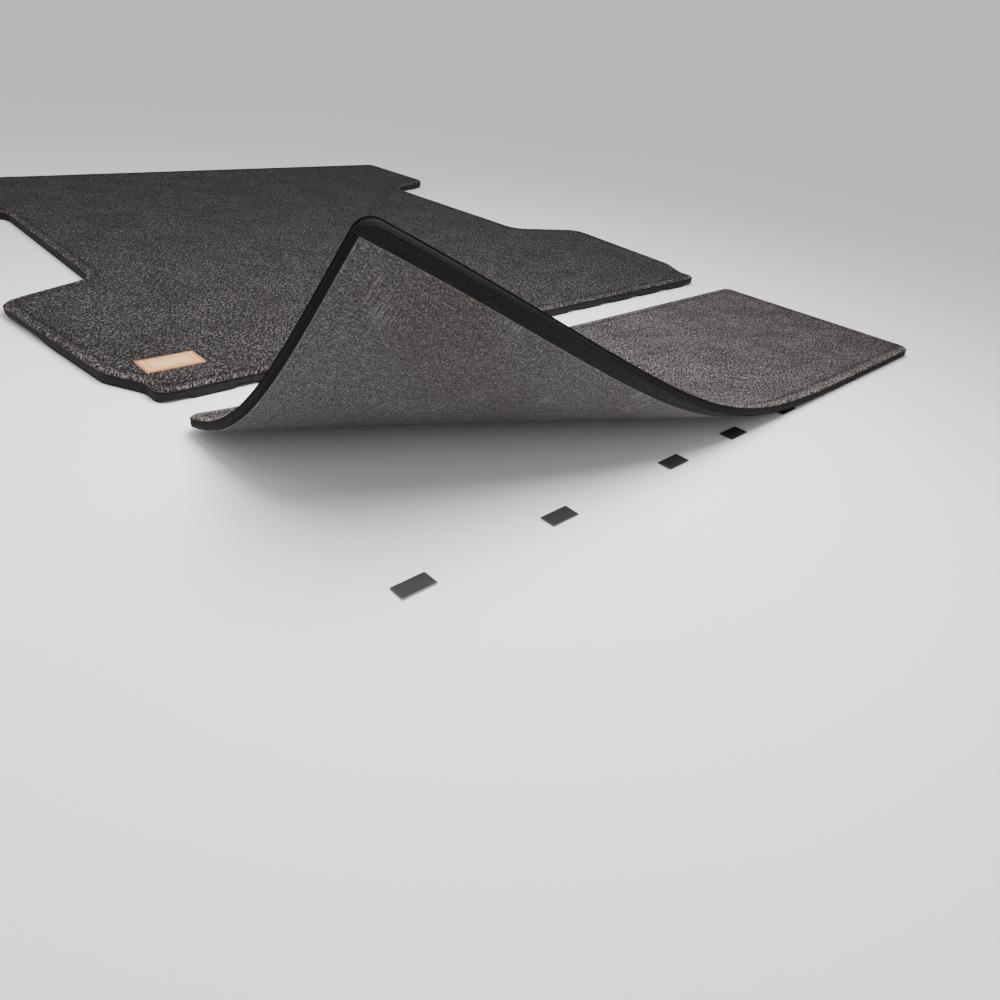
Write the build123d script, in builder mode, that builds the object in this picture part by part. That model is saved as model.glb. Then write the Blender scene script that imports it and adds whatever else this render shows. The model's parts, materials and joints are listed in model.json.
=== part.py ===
from build123d import *
from math import hypot
import os

os.makedirs("parts", exist_ok=True)

# A carpet liner set for a full-size pickup: a mat for the bed floor, a mat for the open tailgate whose
# rear left corner is peeled back, and the hook pads on the tailgate that hold that mat's loop strip.
# Frame: +X to the truck's right, +Y towards the cab, +Z up. The origin is under the middle hook pad, where
# its adhesive meets the open tailgate. The tailgate's inner face and the bed floor both lie in Z = 0.

# Driving dimensions, in mm.
TAILGATE_MAT_WIDTH = 1500.0
TAILGATE_MAT_DEPTH = 500.0
TAILGATE_MAT_CORNER = 22.0  # corner radius in plan
TAILGATE_CARPET_THICKNESS = 6.5
TAILGATE_FOAM_THICKNESS = 10.0
BACKING_THICKNESS = 1.5  # felt and loop strip, side by side under the foam
BACKING_HEIGHT = 3.0  # their underside above the tailgate, just over the hooks
LOOP_STRIP_WIDTH = 19.0  # along the rear edge, where the hook pads are
FELT_MARGIN = 6.0  # bare foam beside the felt along the other three edges

FOLD_FRONT_X = -600.0  # where the fold meets the tailgate mat's front edge
FOLD_REAR_X = 490.0  # where the fold meets its rear edge
FOLD_GAP = 1.0
PEEL_ANGLE = 50.0

BED_MAT_LENGTH = 1705.0
HINGE_FROM_TAILGATE_MAT = 75.0  # from the tailgate mat's front edge to the tailgate's hinge line
HINGE_TO_BED_MAT = 25.0  # from the hinge line to the bed mat's rear edge
BED_REAR_HALF_WIDTH = 750.0  # between the tail lamp pillars
BED_PILLAR_HALF_WIDTH = 792.0  # just ahead of the pillars
BED_HALF_WIDTH = 840.0
WHEEL_HALF_GAP = 640.0  # from the middle to each wheel housing
PILLAR_START = 50.0  # from the bed mat's rear edge to where it starts to widen
PILLAR_END = 124.0
WHEEL_START = 530.0  # from the bed mat's rear edge to the wheel housing
WHEEL_END = 1350.0
WHEEL_SLOPE = 90.0  # how much of that each sloping end of the housing takes up
BED_CORNER = 28.0  # corner radii in plan
WHEEL_CORNER = 60.0

BED_CARPET_THICKNESS = 5.0  # trodden flatter than the tailgate's
BED_FOAM_THICKNESS = 11.0
RIB_HEIGHT = 7.0  # foam ribs that fill the valleys of the corrugated floor
RIB_PITCH = 120.0
RIB_WIDTH = 80.0  # at the ribs' root
RIB_SLOPE = 7.0  # how much narrower the rib is on each side at the floor
RIB_COUNT = 14

PAD_OFFSETS = (-698.0, -448.0, -180.0, 0.0, 180.0, 448.0, 698.0)  # each pad's middle, in X
PAD_WIDTH = 51.0
PAD_DEPTH = 25.0
PAD_CORNER = 2.0
PAD_EDGE_INSET = 1.0  # from the tailgate mat's rear edge to the pads
ADHESIVE_THICKNESS = 1.0
HOOK_BASE_THICKNESS = 0.9
HOOK_HEIGHT = 0.7
HOOK_ROWS = 8
HOOK_ROW_PITCH = 2.8
HOOK_ROW_WIDTH = 1.2

LABEL_WIDTH = 100.0
LABEL_DEPTH = 56.0
LABEL_CORNER = 3.0
LABEL_THICKNESS = 0.8
LABEL_RIGHT_X = -635.0
LABEL_FROM_REAR = 78.0  # from the bed mat's rear edge to the label
STITCH_INSET = 6.0
STITCH_PITCH = 6.0
STITCH_LENGTH = 4.0
STITCH_WIDTH = 0.9
STITCH_HEIGHT = 0.5

# Heights and places that follow from them.
TAILGATE_FOAM_BOTTOM = BACKING_HEIGHT + BACKING_THICKNESS
TAILGATE_CARPET_BOTTOM = TAILGATE_FOAM_BOTTOM + TAILGATE_FOAM_THICKNESS
TAILGATE_MAT_TOP = TAILGATE_CARPET_BOTTOM + TAILGATE_CARPET_THICKNESS
TAILGATE_MAT_REAR = -PAD_DEPTH / 2 - PAD_EDGE_INSET
TAILGATE_MAT_FRONT = TAILGATE_MAT_REAR + TAILGATE_MAT_DEPTH
TAILGATE_MAT_MIDDLE = (TAILGATE_MAT_FRONT + TAILGATE_MAT_REAR) / 2
HINGE_Y = TAILGATE_MAT_FRONT + HINGE_FROM_TAILGATE_MAT
BED_CARPET_BOTTOM = RIB_HEIGHT + BED_FOAM_THICKNESS
BED_MAT_TOP = BED_CARPET_BOTTOM + BED_CARPET_THICKNESS
BED_MAT_REAR = HINGE_Y + HINGE_TO_BED_MAT
LABEL_CENTRE = (LABEL_RIGHT_X - LABEL_WIDTH / 2, BED_MAT_REAR + LABEL_FROM_REAR + LABEL_DEPTH / 2)

# The fold runs across the tailgate mat's top face. A turn about it by a positive angle lifts the corner.
fold_start = Vector(FOLD_REAR_X, TAILGATE_MAT_REAR, TAILGATE_MAT_TOP)
fold_end = Vector(FOLD_FRONT_X, TAILGATE_MAT_FRONT, TAILGATE_MAT_TOP)
fold_axis = Axis(fold_start, fold_end - fold_start)
fold_length = hypot(FOLD_FRONT_X - FOLD_REAR_X, TAILGATE_MAT_DEPTH)
towards_corner = Vector(-TAILGATE_MAT_DEPTH / fold_length, (FOLD_FRONT_X - FOLD_REAR_X) / fold_length, 0)
fold_plane = Plane(origin=fold_start, z_dir=towards_corner)


def bed_outline(height):
    """The bed mat's plan at a height: a pillar step at each rear corner, a notch for each wheel housing."""
    side = [
        (BED_REAR_HALF_WIDTH, 0),
        (BED_REAR_HALF_WIDTH, PILLAR_START),
        (BED_PILLAR_HALF_WIDTH, PILLAR_END),
        (BED_HALF_WIDTH, WHEEL_START),
        (WHEEL_HALF_GAP, WHEEL_START + WHEEL_SLOPE),
        (WHEEL_HALF_GAP, WHEEL_END - WHEEL_SLOPE),
        (BED_HALF_WIDTH, WHEEL_END),
        (BED_HALF_WIDTH, BED_MAT_LENGTH),
    ]
    other_side = [(-x, y) for x, y in reversed(side)]
    with BuildSketch(Plane((0, BED_MAT_REAR, height))) as plan:
        with BuildLine():
            Polyline(*side, *other_side, close=True)
        make_face()
        corners = plan.vertices()
        by_wheel = corners.filter_by_position(Axis.Y, WHEEL_START, WHEEL_END)
        fillet(by_wheel, WHEEL_CORNER)
        fillet([corner for corner in corners if corner not in by_wheel], BED_CORNER)
    return plan.sketch


def mat_layer(bottom, thickness, margin=0.0, from_rear=0.0, to_front=TAILGATE_MAT_DEPTH):
    """A layer of the tailgate mat, lying flat, set in from the mat's outline by a margin, and lying
    between two distances from its rear edge."""
    width = TAILGATE_MAT_WIDTH - 2 * margin
    depth = TAILGATE_MAT_DEPTH - 2 * margin
    with BuildPart() as layer:
        with BuildSketch(Plane.XY.offset(bottom)):
            with Locations((0, TAILGATE_MAT_MIDDLE)):
                RectangleRounded(width, depth, TAILGATE_MAT_CORNER - margin)
            with Locations((0, TAILGATE_MAT_REAR + (from_rear + to_front) / 2)):
                Rectangle(width, to_front - from_rear, mode=Mode.INTERSECT)
        extrude(amount=thickness)
    return layer.part


# Bed mat
with BuildPart() as bed_mat_carpet:
    add(bed_outline(BED_CARPET_BOTTOM))
    extrude(amount=BED_MAT_TOP - BED_CARPET_BOTTOM)

with BuildPart() as bed_mat_foam:
    with BuildSketch(Plane.XZ.offset(-BED_MAT_REAR)):
        with GridLocations(RIB_PITCH, 0, RIB_COUNT, 1):
            Polygon(
                (-RIB_WIDTH / 2, RIB_HEIGHT),
                (RIB_SLOPE - RIB_WIDTH / 2, 0),
                (RIB_WIDTH / 2 - RIB_SLOPE, 0),
                (RIB_WIDTH / 2, RIB_HEIGHT),
                align=None,
            )
    extrude(amount=-BED_MAT_LENGTH)
    with BuildSketch(Plane((0, BED_MAT_REAR + BED_MAT_LENGTH / 2, RIB_HEIGHT))):
        Rectangle(2 * BED_HALF_WIDTH, BED_MAT_LENGTH)
    extrude(amount=BED_FOAM_THICKNESS)
    add(bed_outline(0))
    extrude(amount=BED_CARPET_BOTTOM, mode=Mode.INTERSECT)

with BuildPart() as bed_mat_label:
    with BuildSketch(Plane.XY.offset(BED_MAT_TOP)):
        with Locations(LABEL_CENTRE):
            RectangleRounded(LABEL_WIDTH, LABEL_DEPTH, LABEL_CORNER)
    extrude(amount=LABEL_THICKNESS)

stitch_width = LABEL_WIDTH - 2 * STITCH_INSET
stitch_depth = LABEL_DEPTH - 2 * STITCH_INSET
with BuildPart() as bed_mat_label_stitching:
    with BuildSketch(Plane.XY.offset(BED_MAT_TOP + LABEL_THICKNESS)):
        with Locations(LABEL_CENTRE):
            with GridLocations(STITCH_PITCH, stitch_depth, int(stitch_width / STITCH_PITCH), 2):
                SlotOverall(STITCH_LENGTH, STITCH_WIDTH)
            with GridLocations(stitch_width, STITCH_PITCH, 2, int(stitch_depth / STITCH_PITCH)):
                SlotOverall(STITCH_LENGTH, STITCH_WIDTH, rotation=90)
    extrude(amount=STITCH_HEIGHT)

for name, piece in (
    ("bed_mat_carpet", bed_mat_carpet),
    ("bed_mat_foam", bed_mat_foam),
    ("bed_mat_label", bed_mat_label),
    ("bed_mat_label_stitching", bed_mat_label_stitching),
):
    piece.part.label = name
    export_step(piece.part, f"parts/{name}.step")

# Tailgate mat: each layer is one sheet, cut along the fold, and the corner's half is lifted.
layers = {
    "carpet": mat_layer(TAILGATE_CARPET_BOTTOM, TAILGATE_CARPET_THICKNESS),
    "foam": mat_layer(TAILGATE_FOAM_BOTTOM, TAILGATE_FOAM_THICKNESS),
    "backing": mat_layer(BACKING_HEIGHT, BACKING_THICKNESS, FELT_MARGIN, from_rear=LOOP_STRIP_WIDTH),
    "loop_strip": mat_layer(BACKING_HEIGHT, BACKING_THICKNESS, to_front=LOOP_STRIP_WIDTH),
}
for layer_name, layer in layers.items():
    with BuildPart() as flat_layer:
        add(layer)
        split(bisect_by=fold_plane.offset(-FOLD_GAP / 2), keep=Keep.BOTTOM)
    flat_layer.part.label = f"tailgate_mat_{layer_name}"
    export_step(flat_layer.part, f"parts/{flat_layer.part.label}.step")

    with BuildPart() as corner_layer:
        add(layer)
        split(bisect_by=fold_plane.offset(FOLD_GAP / 2), keep=Keep.TOP)
    lifted_layer = corner_layer.part.rotate(fold_axis, PEEL_ANGLE)
    lifted_layer.label = f"tailgate_corner_{layer_name}"
    export_step(lifted_layer, f"parts/{lifted_layer.label}.step")

# Hook pads along the tailgate's rear edge, each on its own adhesive.
for number, offset_x in enumerate(PAD_OFFSETS, start=1):
    with BuildPart() as pad_adhesive:
        with BuildSketch():
            with Locations((offset_x, 0)):
                RectangleRounded(PAD_WIDTH, PAD_DEPTH, PAD_CORNER)
        extrude(amount=ADHESIVE_THICKNESS)
    pad_adhesive.part.label = f"pad_adhesive_{number}"
    export_step(pad_adhesive.part, f"parts/{pad_adhesive.part.label}.step")

    with BuildPart() as hook_pad:
        with BuildSketch(Plane.XY.offset(ADHESIVE_THICKNESS)):
            with Locations((offset_x, 0)):
                RectangleRounded(PAD_WIDTH, PAD_DEPTH, PAD_CORNER)
        extrude(amount=HOOK_BASE_THICKNESS)
        with BuildSketch(Plane.XY.offset(ADHESIVE_THICKNESS + HOOK_BASE_THICKNESS)):
            with Locations((offset_x, 0)):
                with GridLocations(0, HOOK_ROW_PITCH, 1, HOOK_ROWS):
                    Rectangle(PAD_WIDTH - 2 * PAD_CORNER, HOOK_ROW_WIDTH)
        extrude(amount=HOOK_HEIGHT)
    hook_pad.part.label = f"hook_pad_{number}"
    export_step(hook_pad.part, f"parts/{hook_pad.part.label}.step")
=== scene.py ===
import json
from math import pi, radians, sin, tan

import bpy
import numpy as np
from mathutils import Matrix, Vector, noise


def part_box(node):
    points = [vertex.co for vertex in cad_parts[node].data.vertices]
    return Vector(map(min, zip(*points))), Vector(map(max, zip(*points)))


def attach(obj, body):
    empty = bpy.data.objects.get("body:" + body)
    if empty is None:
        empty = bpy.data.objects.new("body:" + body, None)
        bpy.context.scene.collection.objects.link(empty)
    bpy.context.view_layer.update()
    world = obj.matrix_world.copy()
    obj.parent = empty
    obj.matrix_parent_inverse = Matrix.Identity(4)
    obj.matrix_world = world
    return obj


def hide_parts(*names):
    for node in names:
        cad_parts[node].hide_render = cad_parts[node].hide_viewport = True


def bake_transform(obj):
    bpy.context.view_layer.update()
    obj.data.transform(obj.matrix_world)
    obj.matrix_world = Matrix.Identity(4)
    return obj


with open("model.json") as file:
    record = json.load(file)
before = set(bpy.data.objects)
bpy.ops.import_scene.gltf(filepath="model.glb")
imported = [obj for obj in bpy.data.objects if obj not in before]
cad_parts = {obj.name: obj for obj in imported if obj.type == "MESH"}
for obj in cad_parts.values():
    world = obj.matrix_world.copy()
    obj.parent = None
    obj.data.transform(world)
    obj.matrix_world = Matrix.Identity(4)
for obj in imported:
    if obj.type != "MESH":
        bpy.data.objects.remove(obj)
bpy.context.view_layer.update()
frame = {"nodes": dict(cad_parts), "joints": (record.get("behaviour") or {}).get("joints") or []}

# Sizes that the frame gives, in metres.
low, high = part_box("tailgate_mat_carpet")
MAT_HALF_WIDTH = high.x
MAT_REAR, MAT_FRONT = low.y, high.y
MAT_TOP, MAT_CARPET_BOTTOM = high.z, low.z
MAT_FOAM_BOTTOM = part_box("tailgate_mat_foam")[0].z
MAT_FELT_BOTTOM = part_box("tailgate_mat_backing")[0].z
STRIP_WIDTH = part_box("tailgate_mat_backing")[0].y - MAT_REAR
FELT_MARGIN = MAT_HALF_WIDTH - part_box("tailgate_mat_backing")[1].x
MAT_CORNER = 0.022
MAT_STEP = 0.0075

low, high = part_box("bed_mat_carpet")
BED_REAR, BED_FRONT = low.y, high.y
BED_HALF_WIDTH = high.x
BED_TOP, BED_CARPET_BOTTOM = high.z, low.z
BED_FOAM_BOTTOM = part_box("bed_mat_foam")[0].z
RIB_HEIGHT = 0.007
RIB_PITCH = 0.120
NOTCH_WIDTH = 0.040
NOTCH_SLOPE = 0.012
BED_STEP = 0.012

LABEL_LOW, LABEL_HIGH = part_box("bed_mat_label")
LABEL_CORNER = 0.003
LABEL_INTO_CARPET = 0.0004
LABEL_SINK = 0.0003
LABEL_EDGE_DROP = 0.0003
MERROW_WIDTH = 0.0045
MERROW_HEIGHT = 0.0007
STITCHES_LOW, STITCHES_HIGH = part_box("bed_mat_label_stitching")
STITCH_PITCH = 0.0060
STITCH_LENGTH = 0.0040
STITCH_WIDTH = 0.0009
STITCH_SINK = 0.0004
STITCH_RISE = 0.0006
LABEL_STEP = 0.004
LABEL_EDGE_STEPS = (0, 0.0004, 0.001, 0.002, 0.003, 0.0038, 0.0045, 0.0052, 0.0065, 0.0085, 0.0115)
LABEL_EDGE_STEPS += (0.0145,)

PADS = range(1, 8)
PAD_CORNER = 0.002
PAD_STEP = 0.004
PAD_EDGE_STEPS = (0, 0.0003, 0.0007, 0.0015, 0.003, 0.0045, 0.006)
HOOK_BASE_TOP = 0.0019
HOOK_BASE_EDGE_DROP = 0.0003
HOOK_ROWS = 8
HOOK_ROW_PITCH = 0.0028
HOOKS_IN_ROW = 32
HOOK_PITCH = 0.0015
HOOK_RADIUS = 0.00025
HOOK_SETBACK = 0.0003
# A hook's line from the base up and over, as distances along Y and up from the base's top.
HOOK_LINE = (
    (0, -0.0002),
    (0, 0.0002),
    (0.00004, 0.0004),
    (0.0002, 0.00054),
    (0.00045, 0.00058),
    (0.00068, 0.0005),
    (0.00076, 0.0003),
)

# The corners of the bed mat's right side, rear to front: half width, distance ahead of the rear edge and
# radius.
BED_SIDE = (
    (0.750, 0.000, 0.028),
    (0.750, 0.050, 0.028),
    (0.792, 0.124, 0.028),
    (BED_HALF_WIDTH, 0.530, 0.060),
    (0.640, 0.620, 0.060),
    (0.640, 1.260, 0.060),
    (BED_HALF_WIDTH, 1.350, 0.060),
    (BED_HALF_WIDTH, BED_FRONT - BED_REAR, 0.028),
)

# How the tailgate mat bends at rest: flat before BEND_START and wholly turned past BEND_END, along the
# line from one to the other.
peel = next(joint for joint in frame["joints"] if joint["name"] == "corner_peel")
PEEL_POINT = np.array(peel["pos_m"])
PEEL_AXIS = np.array(peel["axis"]) / np.linalg.norm(peel["axis"])
PEEL_ANGLE = -radians(peel["range_deg"][0])
BEND_START = np.array((-0.625, 0.633, MAT_TOP))
BEND_END = np.array((-0.947, 0.1235, MAT_TOP + 0.320))

# The carpet's upper face: its rounded rim and the groove inside it, by distance from the cut edge, and
# its pile, which is uneven by lumps of two heights and sizes and even near the edge.
RIM_ROUNDING = 0.006
RIM_DROP = 0.0035
GROOVE_INSET = 0.021
GROOVE_WIDTH = 0.007
GROOVE_DEPTH = 0.0018
PILE_SINK = 0.0006
PILE_EVEN_EDGE = 0.02
SMALL_LUMPS = (0.0005, 0.035)
LARGE_LUMPS = (0.0006, 0.16)

# Grid lines beside a cut edge, by distance from it. One of them is the front of the loop strip.
STRIP_STEP = 0.019
NEAR_EDGE_STEPS = (0, 0.0008, 0.002, 0.0035, 0.0055, 0.008, 0.011, 0.0145, 0.0165, STRIP_STEP, 0.021)
NEAR_EDGE_STEPS += (0.0235, 0.0255, 0.0275, 0.031, 0.036)

# How far the cut edges bulge, and how much of each layer is hidden in the next.
WALL_BULGE = 0.0012
FELT_BULGE = 0.0006
FOAM_SETBACK = 0.0006
FOAM_INTO_CARPET = 0.0004
FOAM_INTO_FELT = 0.0002
BED_FOAM_INTO_CARPET = 0.0003

# The carpet's tones and the way that its nap lies, in degrees.
CARPET_TONES = ((0.006, 0.0052, 0.0052), (0.074, 0.0655, 0.0640), (0.43, 0.395, 0.385))
NAP_TURN = 47

# Suns, as direction that the light comes from, power and spread in degrees; the lamp over the
# tailgate; and the world's strength at the horizon and above the given height.
SUNS = (
    ("key", (-0.35, 0.45, 1.0), 0.4, 35),
    ("fill", (-0.1, -1.0, 0.3), 0.2, 60),
)
LAMP_PLACE = (-0.3, 0.25, 1.25)
LAMP_SOURCE = (0.1, -0.2, 1.0)
LAMP_SIZE = 1.0
LAMP_POWER = 44.0
SKY_AT_HORIZON, SKY_ABOVE, SKY_HEIGHT = 0.695, 0.64, 0.35
FLOOR_REACH = 60.0
FLOOR_LEVEL = -0.0005

CAMERA_PLACE = (-1.1365, -0.5297, 0.5641)
CAMERA_TURN = (60.18, -5.71, -43.27)
CAMERA_LENS = 27.15
CAMERA_SHIFT = -0.0365


def coordinates(first, last, step, near=NEAR_EDGE_STEPS):
    """Grid coordinates from first to last, close together near both ends and a step apart between."""
    near = np.array(near)
    inner = np.arange(first + near[-1] + step / 2, last - near[-1] - step / 2, step)
    return np.concatenate([first + near, inner, last - near[::-1]])


def smooth(t):
    """0 at 0 and below, 1 at 1 and above, and a soft step between."""
    t = np.clip(t, 0, 1)
    return t * t * (3 - 2 * t)


def unevenness(x, y, size, seed):
    """Smooth noise between about -1 and 1 at each point, size metres from one lump to the next."""
    gain = 1.6
    points = zip(x.ravel() / size, y.ravel() / size)
    values = [noise.noise(Vector((a, b, seed))) for a, b in points]
    return np.array(values).reshape(x.shape) * gain


# Plan shapes. Each gives x and y grids and every point's distance from the outline.
def rounded_plan(low, high, corner, step, near=NEAR_EDGE_STEPS):
    """The plan of a rectangle whose grid is drawn in to round its four corners."""
    middle_x, middle_y = (low[0] + high[0]) / 2, (low[1] + high[1]) / 2
    half_width, half_depth = (high[0] - low[0]) / 2, (high[1] - low[1]) / 2
    columns = coordinates(low[0], high[0], step, near)
    rows = coordinates(low[1], high[1], step, near)
    x, y = np.meshgrid(columns, rows)
    x, y = x - middle_x, y - middle_y
    a = np.clip((np.abs(x) - half_width + corner) / corner, 0, 1)
    b = np.clip((np.abs(y) - half_depth + corner) / corner, 0, 1)
    drawn_a = a * np.sqrt(1 - b * b / 2)
    drawn_b = b * np.sqrt(1 - a * a / 2)
    x = x + np.sign(x) * (drawn_a - a) * corner
    y = y + np.sign(y) * (drawn_b - b) * corner
    straight = np.minimum(half_width - np.abs(x), half_depth - np.abs(y))
    rounded = corner * (1 - np.hypot(drawn_a, drawn_b))
    distance = np.where((a > 0) & (b > 0), rounded, straight)
    return x + middle_x, y + middle_y, np.maximum(distance, 0)


def bed_outline():
    """The right half of the bed mat's outline, rear to front, as points with its corners rounded."""
    points_per_corner = 9
    corners = [np.array((width, BED_REAR + ahead)) for width, ahead, _ in BED_SIDE]
    corners = [np.array((0, BED_REAR)), *corners, np.array((0, BED_FRONT))]
    points = []
    for before, corner, after, (_, _, radius) in zip(corners, corners[1:], corners[2:], BED_SIDE):
        to_before = (before - corner) / np.linalg.norm(before - corner)
        to_after = (after - corner) / np.linalg.norm(after - corner)
        reach = radius / tan(np.arccos(to_before @ to_after) / 2)
        for t in np.linspace(0, 1, points_per_corner):
            points.append(corner + reach * ((1 - t) ** 2 * to_before + t**2 * to_after))
    return np.array(points)


def distance_to(outline, x, y):
    """Each point's distance to the nearest stretch of the outline."""
    nearest = np.full(x.shape, np.inf)
    for (x0, y0), (x1, y1) in zip(outline, outline[1:]):
        length = np.hypot(x1 - x0, y1 - y0)
        along = ((x - x0) * (x1 - x0) + (y - y0) * (y1 - y0)) / length**2
        t = np.clip(along, 0, 1)
        away = np.hypot(x - x0 - t * (x1 - x0), y - y0 - t * (y1 - y0))
        nearest = np.minimum(nearest, away)
    return nearest


def bed_plan(step):
    """The bed mat's plan: rows across it, each as wide as the outline is there."""
    outline = bed_outline()
    y = coordinates(BED_REAR, BED_FRONT, step)
    half_width = np.interp(y, outline[:, 1], outline[:, 0])
    x = coordinates(-BED_HALF_WIDTH, BED_HALF_WIDTH, step)
    inset = BED_HALF_WIDTH - half_width[:, None]
    inner = BED_HALF_WIDTH - NEAR_EDGE_STEPS[-1]
    squeezed = x[None, :] * (inner - inset) / inner
    beside = np.sign(x)[None, :] * (np.abs(x)[None, :] - inset)
    x = np.where(np.abs(x)[None, :] > inner, beside, squeezed)
    y = np.broadcast_to(y[:, None], x.shape)
    whole = np.concatenate([[(0, BED_REAR)], outline, [(0, BED_FRONT)]])
    return x, y, distance_to(whole, np.abs(x), y)


# Mesh making
def boundary(shape):
    """Indices of a grid's outer ring of points, counterclockwise from its lowest corner."""
    rows, columns = shape
    index = np.arange(rows * columns).reshape(shape)
    return np.concatenate([index[0, :-1], index[:-1, -1], index[-1, :0:-1], index[:0:-1, 0]])


def outward(ring):
    """The direction out of a closed ring of plan points, at each of them."""
    along = np.roll(ring, -1, axis=0) - np.roll(ring, 1, axis=0)
    across = np.column_stack([along[:, 1], -along[:, 0]])
    return across / np.maximum(np.linalg.norm(across, axis=1, keepdims=True), 1e-9)


def slab(name, plan, top, bottom, wall, wall_rows=6):
    """A closed layer: its top and bottom are grids of heights over a plan, joined by a wall.
    wall(share) is how far the wall stands out at that share of the way down. The mesh keeps a flat map
    of the layer as its UVs, in metres, and as cut_edge each point's distance from the cut edge, or on
    the wall how far it is below the top, as a negative number."""
    x, y, distance = plan
    flat = np.column_stack([x.ravel(), y.ravel()])
    top, bottom = top.ravel(), bottom.ravel()
    ring = boundary(x.shape)
    out = outward(flat[ring])
    points = [np.column_stack([flat, top]), np.column_stack([flat, bottom])]
    shares = np.arange(1, wall_rows) / wall_rows
    for share in shares:
        height = top[ring] * (1 - share) + bottom[ring] * share
        points.append(np.column_stack([flat[ring] + out * wall(share), height]))
    points = np.concatenate(points)

    index = np.arange(x.size).reshape(x.shape)
    square = (index[:-1, :-1], index[:-1, 1:], index[1:, 1:], index[1:, :-1])
    square = np.stack(square, axis=-1).reshape(-1, 4)
    faces = [square, square[:, ::-1] + x.size]
    between = 2 * x.size + np.arange((wall_rows - 1) * len(ring)).reshape(-1, len(ring))
    levels = [ring, *between, ring + x.size]
    for above, below in zip(levels, levels[1:]):
        faces.append(np.stack([above, below, np.roll(below, -1), np.roll(above, -1)], axis=-1))
    faces = np.concatenate(faces)

    mesh = bpy.data.meshes.new(name)
    mesh.from_pydata(points.tolist(), [], faces.tolist())
    loop_points = faces.ravel()
    uvs = points[loop_points, :2]
    round_edge = np.cumsum(np.linalg.norm(np.diff(flat[ring], axis=0), axis=1))
    along = np.zeros(len(points))
    for level in levels:
        along[level] = [0, *round_edge]
    wall_loops = loop_points[2 * square.size:]
    uvs[2 * square.size:] = np.column_stack([along[wall_loops], points[wall_loops, 2]])
    mesh.uv_layers.new(name="flat").data.foreach_set("uv", uvs.ravel())
    down = np.repeat(-shares * (top[ring].mean() - bottom[ring].mean()), len(ring))
    edge = np.concatenate([distance.ravel(), distance.ravel(), down]).astype(np.float32)
    mesh.attributes.new("cut_edge", "FLOAT", "POINT").data.foreach_set("value", edge)
    mesh.shade_smooth()
    mesh.update()
    piece = bpy.data.objects.new(name, mesh)
    bpy.context.scene.collection.objects.link(piece)
    return piece


def bend(piece):
    halvings = 40
    count = len(piece.data.vertices)
    flat = np.zeros(count * 3)
    piece.data.vertices.foreach_get("co", flat)
    arm = flat.reshape(-1, 3) - PEEL_POINT
    along = (arm @ PEEL_AXIS)[:, None] * PEEL_AXIS
    across = arm - along
    upward = np.cross(PEEL_AXIS, across)
    reach = BEND_END - BEND_START

    def turned(share):
        angle = (PEEL_ANGLE * share)[:, None]
        return PEEL_POINT + along + across * np.cos(angle) + upward * np.sin(angle)

    too_low, too_high = np.zeros(count), np.ones(count)
    for _ in range(halvings):
        share = (too_low + too_high) / 2
        wanted = smooth((turned(share) - BEND_START) @ reach / (reach @ reach))
        too_low = np.where(wanted > share, share, too_low)
        too_high = np.where(wanted > share, too_high, share)
    piece.data.vertices.foreach_set("co", turned((too_low + too_high) / 2).ravel())
    piece.data.update()


def carpet_top(plan, top, seed):
    """Carpet's upper face: a rounded cut edge, a pressed groove inside it, and a slightly uneven pile."""
    x, y, distance = plan
    rounding = RIM_DROP * (1 - smooth(distance / RIM_ROUNDING)) ** 1.5
    groove = GROOVE_DEPTH * np.exp(-(((distance - GROOVE_INSET) / (GROOVE_WIDTH / 2)) ** 2))
    lumps = SMALL_LUMPS[0] * unevenness(x, y, SMALL_LUMPS[1], seed)
    lumps += LARGE_LUMPS[0] * unevenness(x, y, LARGE_LUMPS[1], seed + 9)
    return top - PILE_SINK - rounding - groove + lumps * smooth(distance / PILE_EVEN_EDGE)


# How far each layer's cut edge stands out, at each share of the way down it.
def foam_wall(share):
    return WALL_BULGE * sin(pi * share) - FOAM_SETBACK


def carpet_wall(share):
    return WALL_BULGE * sin(pi * share)


def felt_wall(share):
    return FELT_BULGE * sin(pi * share)


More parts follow.
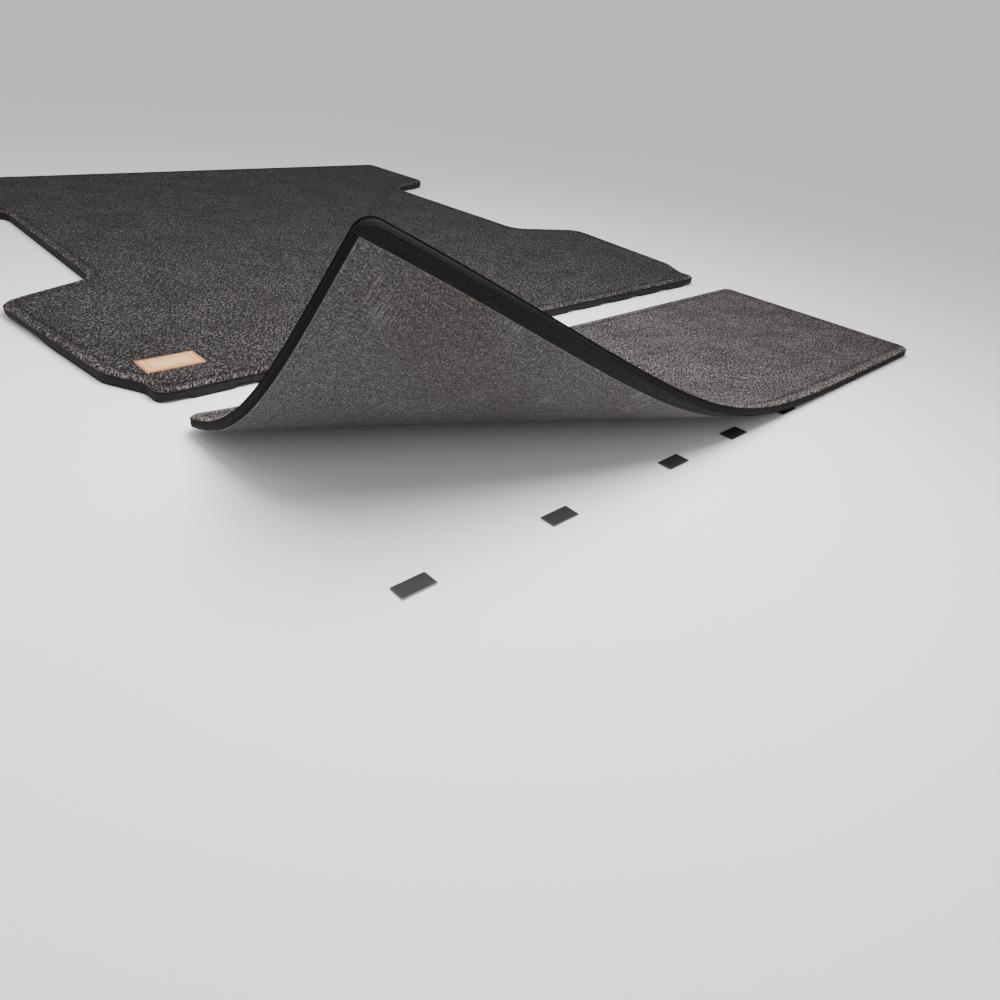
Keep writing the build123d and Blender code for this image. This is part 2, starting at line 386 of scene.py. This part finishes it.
# Materials
class Nodes:
    """A material's node tree, with short calls for the nodes that the materials here are made of."""

    def __init__(self, name):
        self.material = bpy.data.materials.new(name)
        self.material.use_nodes = True
        self.tree = self.material.node_tree
        self.tree.nodes.clear()
        self.surface = self.add("ShaderNodeBsdfPrincipled")
        output = self.add("ShaderNodeOutputMaterial")
        self.tree.links.new(self.surface.outputs[0], output.inputs["Surface"])

    def add(self, kind, **settings):
        node = self.tree.nodes.new(kind)
        for name, value in settings.items():
            setattr(node, name, value)
        return node

    def join(self, source, target):
        self.tree.links.new(source, target)

    def place(self, size=(1, 1, 1), turn=0.0, flat=True):
        """Coordinates in metres, over the flat layer's map, or through the object where flat is False. A
        pattern is stretched to size, its length turned from the X axis."""
        mapping = self.add("ShaderNodeMapping", vector_type="TEXTURE")
        mapping.inputs["Scale"].default_value = size
        mapping.inputs["Rotation"].default_value = (0, 0, radians(turn))
        if flat:
            source = self.add("ShaderNodeUVMap", uv_map="flat").outputs["UV"]
        else:
            source = self.add("ShaderNodeTexCoord").outputs["Object"]
        self.join(source, mapping.inputs["Vector"])
        return mapping.outputs["Vector"]

    def noise(self, where, scale, detail=3.0, roughness=0.6):
        node = self.add("ShaderNodeTexNoise")
        node.inputs["Scale"].default_value = scale
        node.inputs["Detail"].default_value = detail
        node.inputs["Roughness"].default_value = roughness
        self.join(where, node.inputs["Vector"])
        return node.outputs["Fac"]

    def cells(self, where, scale, feature="F1"):
        node = self.add("ShaderNodeTexVoronoi", feature=feature)
        node.inputs["Scale"].default_value = scale
        self.join(where, node.inputs["Vector"])
        return node.outputs["Distance"]

    def spread(self, value, from_low, from_high, to_low=0.0, to_high=1.0):
        node = self.add("ShaderNodeMapRange")
        for socket, number in zip(node.inputs[1:5], (from_low, from_high, to_low, to_high)):
            socket.default_value = number
        self.join(value, node.inputs[0])
        return node.outputs[0]

    def combine(self, operation, a, b):
        node = self.add("ShaderNodeMath", operation=operation)
        for socket, value in zip(node.inputs, (a, b)):
            if isinstance(value, (int, float)):
                socket.default_value = value
            else:
                self.join(value, socket)
        return node.outputs[0]

    def ramp(self, value, *stops):
        node = self.add("ShaderNodeValToRGB")
        elements = node.color_ramp.elements
        while len(elements) < len(stops):
            elements.new(0.5)
        for element, (position, color) in zip(elements, stops):
            element.position = position
            element.color = (*color, 1)
        self.join(value, node.inputs["Fac"])
        return node.outputs["Color"]

    def mix(self, share, a, b, how="MIX"):
        node = self.add("ShaderNodeMix", data_type="RGBA", blend_type=how)
        for socket, value in zip((node.inputs[0], node.inputs[6], node.inputs[7]), (share, a, b)):
            if isinstance(value, (int, float)):
                socket.default_value = value
            elif isinstance(value, tuple):
                socket.default_value = (*value, 1)
            else:
                self.join(value, socket)
        return node.outputs[2]

    def tint(self, share, color, factor):
        """The color, multiplied by factor where share is 1."""
        return self.mix(share, color, self.mix(1.0, color, factor, "MULTIPLY"))

    def cut_edge(self):
        """The distance from the cut edge that slab() keeps in a mesh."""
        return self.add("ShaderNodeAttribute", attribute_name="cut_edge").outputs["Fac"]

    def bump(self, height, distance, strength=1.0, under=None):
        node = self.add("ShaderNodeBump")
        node.inputs["Distance"].default_value = distance
        node.inputs["Strength"].default_value = strength
        self.join(height, node.inputs["Height"])
        if under is not None:
            self.join(under, node.inputs["Normal"])
        return node.outputs["Normal"]

    def finish(self, color, roughness, normal=None, **constants):
        self.join(color, self.surface.inputs["Base Color"])
        if isinstance(roughness, (int, float)):
            self.surface.inputs["Roughness"].default_value = roughness
        else:
            self.join(roughness, self.surface.inputs["Roughness"])
        if normal is not None:
            self.join(normal, self.surface.inputs["Normal"])
        for name, value in constants.items():
            self.surface.inputs[name.replace("_", " ")].default_value = value
        return self.material


def fibres(nodes, length, width, turns):
    """Short matted fibres: noise stretched to a fibre's length and width at several turns, of which the
    brightest shows."""
    found = None
    for turn in turns:
        strand = nodes.noise(nodes.place((length, width, 1), turn), 1.0, detail=1.5)
        found = strand if found is None else nodes.combine("MAXIMUM", found, strand)
    return found


def weighted(nodes, *parts):
    """The sum of values times weights."""
    total = None
    for value, weight in parts:
        part = nodes.combine("MULTIPLY", value, weight)
        total = part if total is None else nodes.combine("ADD", total, part)
    return total


def tones_at(positions, tones, brightness=1.0):
    """Stops for a color ramp: each tone times brightness, at its position."""
    return [(place, tuple(brightness * part for part in tone)) for place, tone in zip(positions, tones)]


def carpet_material(name, brightness, coarseness, softness):
    """Heather needle-punched carpet: dark and pale fibres matted into small clumps that lean along its
    nap, with a painted highlight on the rounded rim, painted shade in the groove inside it, and near black
    down the cut edge, partly its dark backing and partly painted shade. A larger softness makes the step
    from dark to pale fibres gentler."""
    nodes = Nodes(name)
    flat = nodes.place()
    strands = fibres(nodes, 0.0050 * coarseness, 0.0015 * coarseness, (12, 57, 102, 147))
    clump_size = (0.0050 * coarseness, 0.0024 * coarseness, 1)
    clumps = nodes.noise(nodes.place(clump_size, NAP_TURN), 1.0, detail=1.2, roughness=0.7)
    tuft_size = (0.011 * coarseness, 0.0055 * coarseness, 1)
    tufts = nodes.noise(nodes.place(tuft_size, NAP_TURN), 1.0, detail=2.0, roughness=0.7)
    blotches = nodes.noise(flat, 30.0, detail=2.0)
    heather = weighted(nodes, (strands, 0.26), (clumps, 0.58), (tufts, 0.26), (blotches, 0.08))
    middle = 0.625
    pale = nodes.spread(heather, middle - softness, middle + softness)
    color = nodes.ramp(pale, *tones_at((0.0, 0.5, 1.0), CARPET_TONES, brightness))
    worn = nodes.spread(nodes.noise(flat, 8.0, detail=4.0), 0.42, 0.60, 0.0, 0.7)
    color = nodes.tint(worn, color, (0.66, 0.64, 0.64))
    single = fibres(nodes, 0.0075, 0.00055, (30, 75, 120, 165))
    color = nodes.mix(1.0, color, nodes.spread(single, 0.50, 0.75, 0.35, 1.70), "MULTIPLY")
    edge = nodes.cut_edge()
    # Painted highlight: the rounded rim is made paler, up to 1.7 times, from 16 mm in out to the cut edge.
    rim = nodes.spread(edge, GROOVE_INSET - 0.005, RIM_ROUNDING, 0.0, 0.9)
    color = nodes.tint(rim, color, (1.7, 1.67, 1.65))
    # Painted shade: a dark line along the pressed groove, 21 mm in from the cut edge.
    from_groove = nodes.combine("ABSOLUTE", nodes.combine("SUBTRACT", edge, GROOVE_INSET), 0)
    groove = nodes.spread(from_groove, 0.005, 0.001, 0.0, 0.7)
    color = nodes.tint(groove, color, (0.40, 0.39, 0.39))
    # Near black down the cut edge: partly the carpet's dark backing and partly painted shade.
    color = nodes.mix(nodes.spread(edge, 0.0016, -0.0006), color, (0.005, 0.0047, 0.0047))
    normal = nodes.bump(single, 0.0012, 0.8, nodes.bump(heather, 0.007, 1.0))
    sheen = {"Sheen_Weight": 0.02, "Sheen_Roughness": 0.6}
    return nodes.finish(color, 0.95, normal, Specular_IOR_Level=0.1, **sheen)


def felt_material():
    """Grey felt under the tailgate mat: short fibres at all angles, a few of them pale and standing
    proud, and broad random patches of painted shade with a reddish painted reflection of the tailgate."""
    nodes = Nodes("felt_grey")
    flat = nodes.place()
    matted = fibres(nodes, 0.0050, 0.0013, (10, 58, 100, 149))
    grain = nodes.noise(flat, 360.0, detail=2.0, roughness=0.7)
    tufts = nodes.noise(flat, 130.0, detail=2.0, roughness=0.7)
    fuzz = weighted(nodes, (matted, 0.34), (grain, 0.52), (tufts, 0.18))
    tones = ((0.020, 0.0195, 0.019), (0.076, 0.073, 0.071), (0.21, 0.203, 0.197))
    color = nodes.ramp(nodes.spread(fuzz, 0.44, 0.69), *tones_at((0.0, 0.5, 1.0), tones))
    # Painted shade with a reddish painted reflection of the red tailgate, in broad random patches.
    painted_red_reflection = nodes.spread(nodes.noise(flat, 4.0, detail=3.0), 0.44, 0.62, 0.0, 0.7)
    color = nodes.tint(painted_red_reflection, color, (0.88, 0.77, 0.75))
    strays = nodes.noise(nodes.place((0.040, 0.0012, 1), 92), 1.0, detail=0.5)
    bundles = nodes.noise(flat, 9.0, detail=1.0)
    bundled = nodes.spread(bundles, 0.55, 0.68)
    strays = nodes.combine("MULTIPLY", nodes.spread(strays, 0.62, 0.72), bundled)
    color = nodes.mix(nodes.combine("MULTIPLY", strays, 0.6), color, (0.38, 0.37, 0.36))
    edge = nodes.cut_edge()
    color = nodes.mix(nodes.spread(edge, 0.0022, 0.0004, 0.0, 0.35), color, (0.16, 0.155, 0.15))
    normal = nodes.bump(fuzz, 0.005, 0.9)
    sheen = {"Sheen_Weight": 0.08, "Sheen_Roughness": 0.5}
    return nodes.finish(color, 0.95, normal, Specular_IOR_Level=0.1, **sheen)


def loop_material():
    """Black loop tape: a mat of fine curled loops over lengthwise ground threads."""
    nodes = Nodes("loop_tape_black")
    curls = nodes.cells(nodes.place(), 600.0)
    threads = nodes.noise(nodes.place((0.09, 0.0016, 1)), 1.0, detail=2.0)
    fuzz = nodes.noise(nodes.place(), 260.0, detail=3.0, roughness=0.75)
    shade = weighted(nodes, (fuzz, 0.55), (threads, 0.45))
    color = nodes.ramp(shade, (0.36, (0.0042, 0.0040, 0.0040)), (0.66, (0.0165, 0.0158, 0.0155)))
    normal = nodes.bump(nodes.combine("ADD", curls, fuzz), 0.0015, 0.8)
    sheen = {"Sheen_Weight": 0.05, "Sheen_Roughness": 0.4}
    return nodes.finish(color, 0.9, normal, Specular_IOR_Level=0.12, **sheen)


def foam_material(name, brightness):
    """Black or charcoal closed-cell foam, whose cut edge shows fine cells and the blade's long marks."""
    nodes = Nodes(name)
    cells = nodes.cells(nodes.place(), 800.0)
    marks = nodes.noise(nodes.place((0.3, 0.0014, 1)), 1.0, detail=2.0)
    mottle = nodes.noise(nodes.place(), 90.0, detail=4.0, roughness=0.7)
    shade = weighted(nodes, (mottle, 0.6), (marks, 0.4))
    tones = ((0.0024, 0.0024, 0.0024), (0.0075, 0.0072, 0.0071))
    color = nodes.ramp(shade, *tones_at((0.38, 0.62), tones, brightness))
    roughness = nodes.spread(mottle, 0.3, 0.7, 0.7, 0.9)
    normal = nodes.bump(marks, 0.0008, 0.6, nodes.bump(cells, 0.0005, 0.6))
    return nodes.finish(color, roughness, normal, Specular_IOR_Level=0.12)


def hook_material():
    """Moulded charcoal nylon."""
    nodes = Nodes("hook_nylon")
    speckle = nodes.noise(nodes.place(flat=False), 900.0, detail=2.0)
    color = nodes.ramp(speckle, (0.35, (0.022, 0.022, 0.0225)), (0.7, (0.045, 0.0445, 0.0445)))
    roughness = nodes.spread(speckle, 0.3, 0.7, 0.35, 0.5)
    return nodes.finish(color, roughness, nodes.bump(speckle, 0.0002, 0.4))


def adhesive_material():
    """Off-white foam adhesive."""
    nodes = Nodes("adhesive_acrylic")
    cloud = nodes.noise(nodes.place(flat=False), 160.0, detail=3.0)
    color = nodes.ramp(cloud, (0.3, (0.60, 0.59, 0.56)), (0.7, (0.74, 0.73, 0.70)))
    return nodes.finish(color, 0.35, nodes.bump(cloud, 0.0003, 0.4))


def label_material():
    """Cream woven patch with an orange overlocked rim and an orange line woven inside it."""
    nodes = Nodes("label_weave")
    warp = nodes.add("ShaderNodeTexWave", wave_type="BANDS", bands_direction="X")
    weft = nodes.add("ShaderNodeTexWave", wave_type="BANDS", bands_direction="Y")
    for wave in (warp, weft):
        wave.inputs["Scale"].default_value = 260.0
        nodes.join(nodes.place(), wave.inputs["Vector"])
    weave = nodes.combine("MULTIPLY", warp.outputs["Fac"], weft.outputs["Fac"])
    soil = nodes.noise(nodes.place(), 45.0, detail=4.0)
    cream = nodes.ramp(weave, (0.0, (0.64, 0.35, 0.16)), (0.6, (0.93, 0.61, 0.32)))
    cream = nodes.mix(nodes.spread(soil, 0.4, 0.75, 0.0, 0.35), cream, (0.50, 0.36, 0.23))
    edge = nodes.cut_edge()
    past = nodes.combine("GREATER_THAN", edge, 0.0115)
    line = nodes.combine("MULTIPLY", past, nodes.combine("LESS_THAN", edge, 0.0145))
    overlock = nodes.add("ShaderNodeTexWave", wave_type="BANDS", bands_direction="DIAGONAL")
    overlock.inputs["Scale"].default_value = 620.0
    overlock.inputs["Distortion"].default_value = 1.5
    nodes.join(nodes.place(), overlock.inputs["Vector"])
    orange = nodes.ramp(overlock.outputs["Fac"], (0.1, (0.34, 0.085, 0.016)), (0.7, (0.72, 0.26, 0.065)))
    rim = nodes.combine("LESS_THAN", edge, MERROW_WIDTH)
    color = nodes.mix(nodes.combine("MAXIMUM", line, rim), cream, orange)
    threads = nodes.mix(rim, weave, overlock.outputs["Fac"])
    return nodes.finish(color, 0.8, nodes.bump(threads, 0.0004, 0.9), Sheen_Weight=0.2)


def thread_material():
    """Orange twisted sewing thread."""
    nodes = Nodes("thread_orange")
    twist = nodes.noise(nodes.place(flat=False), 2500.0, detail=1.0)
    color = nodes.ramp(twist, (0.35, (0.42, 0.13, 0.03)), (0.7, (0.72, 0.28, 0.08)))
    return nodes.finish(color, 0.55, nodes.bump(twist, 0.0001, 0.5))


def floor_material():
    """Pale studio paper."""
    nodes = Nodes("floor_paper")
    tone = nodes.noise(nodes.place(flat=False), 0.8, detail=2.0)
    color = nodes.ramp(tone, (0.3, (0.86, 0.86, 0.86)), (0.7, (0.88, 0.88, 0.88)))
    return nodes.finish(color, 0.95, Specular_IOR_Level=0.05)


def paint(piece, material):
    """Gives a piece one material, in place of any that it has."""
    piece.data.materials.clear()
    piece.data.materials.append(material)


# Pieces
def rows_of(plan, first, last, cut_at):
    """Part of a plan: its rows from first to last, cut straight along y = cut_at."""
    x, y, distance = (grid[first:last].copy() for grid in plan)
    y[0 if last is None else -1] = cut_at
    return x, y, np.minimum(distance, np.abs(y - cut_at))


def tailgate_mat():
    """Carpet, foam, felt and loop strip, each one whole layer over both halves of the CAD mat."""
    low, high = (-MAT_HALF_WIDTH, MAT_REAR), (MAT_HALF_WIDTH, MAT_FRONT)
    plan = rounded_plan(low, high, MAT_CORNER, MAT_STEP)
    cut = MAT_REAR + STRIP_WIDTH
    strip_rows = NEAR_EDGE_STEPS.index(STRIP_STEP) + 1
    strip_plan = rows_of(plan, None, strip_rows, cut)
    felt_low = (FELT_MARGIN - MAT_HALF_WIDTH, MAT_REAR + FELT_MARGIN)
    felt_high = (MAT_HALF_WIDTH - FELT_MARGIN, MAT_FRONT - FELT_MARGIN)
    felt_steps = sorted({*NEAR_EDGE_STEPS, STRIP_STEP - FELT_MARGIN})
    felt_plan = rounded_plan(felt_low, felt_high, MAT_CORNER - FELT_MARGIN, MAT_STEP, felt_steps)
    felt_plan = rows_of(felt_plan, felt_steps.index(STRIP_STEP - FELT_MARGIN), None, cut)
    foam_top, foam_under = MAT_CARPET_BOTTOM + FOAM_INTO_CARPET, MAT_FOAM_BOTTOM - FOAM_INTO_FELT
    felt_top = MAT_FOAM_BOTTOM
    layers = (
        ("carpet", "carpet", plan, carpet_top(plan, MAT_TOP, 3), MAT_CARPET_BOTTOM, carpet_wall, 6),
        ("foam", "foam", plan, foam_top, foam_under, foam_wall, 8),
        ("backing", "felt", felt_plan, felt_top, felt_under(felt_plan), felt_wall, 3),
        ("loop_strip", "loop_tape", strip_plan, felt_top, felt_under(strip_plan), felt_wall, 3),
    )
    for layer, slot, layer_plan, top, bottom, wall, wall_rows in layers:
        level = np.ones_like(layer_plan[0])
        piece = slab(f"{layer}_tailgate", layer_plan, top * level, bottom * level, wall, wall_rows)
        bend(piece)
        paint(piece, MATERIALS[slot])
        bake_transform(piece)
        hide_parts(f"tailgate_mat_{layer}", f"tailgate_corner_{layer}")


def felt_under(plan):
    """The underside of the felt or loop strip: slightly uneven, and rounded up to its cut edge."""
    x, y, distance = plan
    lift = 0.0002
    edge = 0.0005 * (1 - smooth(distance / 0.002))
    return MAT_FELT_BOTTOM + lift + 0.0002 * unevenness(x, y, 0.05, 21) + edge


def rib_heights(x):
    """The underside of the bed mat's foam: ribs down in the floor's valleys, with soft notches between."""
    from_notch = np.abs((x + RIB_PITCH / 2) % RIB_PITCH - RIB_PITCH / 2)
    into_rib = from_notch - NOTCH_WIDTH / 2 + NOTCH_SLOPE / 3
    return BED_FOAM_BOTTOM + RIB_HEIGHT * (1 - smooth(into_rib / NOTCH_SLOPE))


def bed_mat():
    """The bed mat's carpet, and its foam with the ribs under it."""
    plan = bed_plan(BED_STEP)
    x = plan[0]
    level = np.ones_like(x)
    foam_top = BED_CARPET_BOTTOM + BED_FOAM_INTO_CARPET
    carpet_level = level * BED_CARPET_BOTTOM
    carpet = slab("carpet_bed", plan, carpet_top(plan, BED_TOP, 5), carpet_level, carpet_wall, 5)
    under = slab("foam_bed", plan, level * foam_top, rib_heights(x), foam_wall, 6)
    paint(carpet, MATERIALS["carpet_bed"])
    paint(under, MATERIALS["foam_bed"])
    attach(carpet, "bed_mat")
    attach(under, "bed_mat")
    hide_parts("bed_mat_carpet")
    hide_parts("bed_mat_foam")


def tube(path, side, radius):
    """Points and faces of a thin closed bar with a diamond section along a path; side is its width's
    direction."""
    along = np.gradient(path, axis=0)
    along /= np.linalg.norm(along, axis=1, keepdims=True)
    up = np.cross(along, side)
    rings = [path + radius * side, path + radius * up, path - radius * side, path - radius * up]
    points = np.stack(rings, axis=1).reshape(-1, 3)
    faces = []
    for ring in range(len(path) - 1):
        for corner in range(4):
            a, b = 4 * ring + corner, 4 * ring + (corner + 1) % 4
            faces.append((a, b, b + 4, a + 4))
    last = 4 * (len(path) - 1)
    ends = [(3, 2, 1, 0), (last, last + 1, last + 2, last + 3)]
    return points, faces + ends


def add_bars(piece, bars):
    """Adds bars, given as (points, faces), to a piece's mesh."""
    old = piece.data
    points = [tuple(vertex.co) for vertex in old.vertices]
    faces = [tuple(polygon.vertices) for polygon in old.polygons]
    for bar_points, bar_faces in bars:
        start = len(points)
        points.extend(map(tuple, bar_points))
        faces.extend(tuple(start + corner for corner in face) for face in bar_faces)
    mesh = bpy.data.meshes.new(piece.name)
    mesh.from_pydata(points, [], faces)
    mesh.update()
    piece.data = mesh


def hook_pads():
    """Hook tape on each pad: a thin base and rows of small hooks, alternate rows facing apart. The
    adhesive under it stays as the CAD has it."""
    line = np.array(HOOK_LINE)
    across = np.full(len(line), 1.0)
    side = np.array((1.0, 0, 0))
    nylon = hook_material()
    adhesive = adhesive_material()
    for number in PADS:
        low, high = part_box(f"hook_pad_{number}")
        plan = rounded_plan(low, high, PAD_CORNER, PAD_STEP, PAD_EDGE_STEPS)
        level = np.ones_like(plan[0])
        top = HOOK_BASE_TOP - HOOK_BASE_EDGE_DROP * (1 - smooth(plan[2] / 0.0008))
        piece = slab(f"hooks_{number}", plan, top, low.z * level, felt_wall, 3)
        bars = []
        for row in range(HOOK_ROWS):
            y = (low.y + high.y) / 2 + (row - (HOOK_ROWS - 1) / 2) * HOOK_ROW_PITCH
            facing = 1 if row % 2 else -1
            for hook in range(HOOKS_IN_ROW):
                x = (low.x + high.x) / 2 + (hook - (HOOKS_IN_ROW - 1) / 2) * HOOK_PITCH
                forward = y + facing * (line[:, 0] - HOOK_SETBACK)
                path = np.column_stack([x * across, forward, HOOK_BASE_TOP + line[:, 1]])
                bars.append(tube(path, side * facing, HOOK_RADIUS))
        add_bars(piece, bars)
        paint(piece, nylon)
        paint(frame["nodes"][f"pad_adhesive_{number}"], adhesive)
        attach(piece, "tailgate_set")
        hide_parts(f"hook_pad_{number}")


def label():
    """The patch sewn on the bed mat, with a thicker overlocked rim, and the stitches that hold it."""
    plan = rounded_plan(LABEL_LOW, LABEL_HIGH, LABEL_CORNER, LABEL_STEP, LABEL_EDGE_STEPS)
    x, y, distance = plan
    rim = np.sqrt(np.clip(1 - ((distance - MERROW_WIDTH / 2) / (MERROW_WIDTH / 2)) ** 2, 0, 1))
    edge = LABEL_EDGE_DROP * (1 - smooth(distance / 0.0006))
    top = LABEL_HIGH.z - LABEL_SINK + MERROW_HEIGHT * rim - edge
    top += 0.00012 * unevenness(x, y, 0.012, 31)
    bottom = (LABEL_LOW.z - LABEL_INTO_CARPET) * np.ones_like(x)
    patch = slab("label_bed", plan, top, bottom, felt_wall, 3)
    paint(patch, label_material())
    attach(patch, "bed_mat")
    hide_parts("bed_mat_label")

    half = np.array(STITCHES_HIGH - STITCHES_LOW)[:2] / 2 - STITCH_WIDTH / 2
    middle = np.array((LABEL_LOW + LABEL_HIGH)[:2]) / 2
    arc = np.linspace(-1, 1, 7)
    height = LABEL_HIGH.z - STITCH_SINK + STITCH_RISE * (1 - arc**2)
    sides = np.array([(0.0, 1.0, 0.0), (-1.0, 0.0, 0.0)])
    bars = []
    for axis in (0, 1):
        count = int(2 * half[axis] / STITCH_PITCH)
        for place in (np.arange(count) - (count - 1) / 2) * STITCH_PITCH:
            for offset in (-half[1 - axis], half[1 - axis]):
                path = np.zeros((len(arc), 3))
                path[:, axis] = middle[axis] + place + arc * STITCH_LENGTH / 2
                path[:, 1 - axis] = middle[1 - axis] + offset
                path[:, 2] = height
                bars.append(tube(path, sides[axis], STITCH_WIDTH / 2))
    stitches = bpy.data.objects.new("label_stitches", bpy.data.meshes.new("label_stitches"))
    bpy.context.scene.collection.objects.link(stitches)
    add_bars(stitches, bars)
    stitches.data.shade_smooth()
    paint(stitches, thread_material())
    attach(stitches, "bed_mat")
    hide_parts("bed_mat_label_stitching")


def stage_and_light():
    """A plain pale floor as far as the camera sees, even light from all round with two weak, soft suns,
    and a large lamp over the tailgate, whose light falls off towards the front of the bed."""
    mesh = bpy.data.meshes.new("studio_floor")
    signs = ((-1, -1), (1, -1), (1, 1), (-1, 1))
    corners = [(FLOOR_REACH * x, FLOOR_REACH * y, FLOOR_LEVEL) for x, y in signs]
    mesh.from_pydata(corners, [], [(0, 1, 2, 3)])
    floor = bpy.data.objects.new("studio_floor", mesh)
    bpy.context.scene.collection.objects.link(floor)
    paint(floor, floor_material())

    world = bpy.data.worlds.new("studio")
    world.use_nodes = True
    tree = world.node_tree
    direction = tree.nodes.new("ShaderNodeTexCoord").outputs["Generated"]
    split = tree.nodes.new("ShaderNodeSeparateXYZ")
    tree.links.new(direction, split.inputs[0])
    fall = tree.nodes.new("ShaderNodeMapRange")
    for socket, number in zip(fall.inputs[1:5], (0.0, SKY_HEIGHT, SKY_AT_HORIZON, SKY_ABOVE)):
        socket.default_value = number
    tree.links.new(split.outputs["Z"], fall.inputs[0])
    tree.links.new(fall.outputs[0], tree.nodes["Background"].inputs["Strength"])
    tree.nodes["Background"].inputs["Color"].default_value = (1, 1, 1, 1)
    bpy.context.scene.world = world

    for name, source, power, spread in SUNS:
        lamp = bpy.data.lights.new(name, "SUN")
        lamp.angle = radians(spread)
        lamp.energy = power
        holder = bpy.data.objects.new(name, lamp)
        holder.rotation_euler = Vector(source).to_track_quat("Z", "Y").to_euler()
        bpy.context.scene.collection.objects.link(holder)

    overhead = bpy.data.lights.new("overhead", "AREA")
    overhead.shape = "DISK"
    overhead.size = LAMP_SIZE
    overhead.energy = LAMP_POWER
    holder = bpy.data.objects.new("overhead", overhead)
    holder.location = LAMP_PLACE
    holder.rotation_euler = Vector(LAMP_SOURCE).to_track_quat("Z", "Y").to_euler()
    holder.visible_camera = False
    bpy.context.scene.collection.objects.link(holder)


def camera():
    """Behind the truck's left rear corner, looking forward to the right and down."""
    data = bpy.data.cameras.new("camera")
    data.sensor_width = 36.0
    data.lens = CAMERA_LENS
    data.shift_y = CAMERA_SHIFT
    data.clip_start = 0.05
    holder = bpy.data.objects.new("camera", data)
    holder.location = CAMERA_PLACE
    holder.rotation_euler = [radians(turn) for turn in CAMERA_TURN]
    bpy.context.scene.collection.objects.link(holder)
    bpy.context.scene.camera = holder


MATERIALS = {
    "carpet": carpet_material("carpet_heather", 0.81, 1.0, 0.106),
    # The bed mat's carpet is the same carpet at about half the brightness: painted shade from the truck
    # bed's walls.
    "carpet_bed": carpet_material("carpet_heather_bed_painted_shade", 0.42, 1.35, 0.105),
    "foam": foam_material("foam_black", 1.0),
    "foam_bed": foam_material("foam_charcoal", 3.2),
    "felt": felt_material(),
    "loop_tape": loop_material(),
}

hook_pads()
tailgate_mat()
bed_mat()
label()
stage_and_light()
camera()
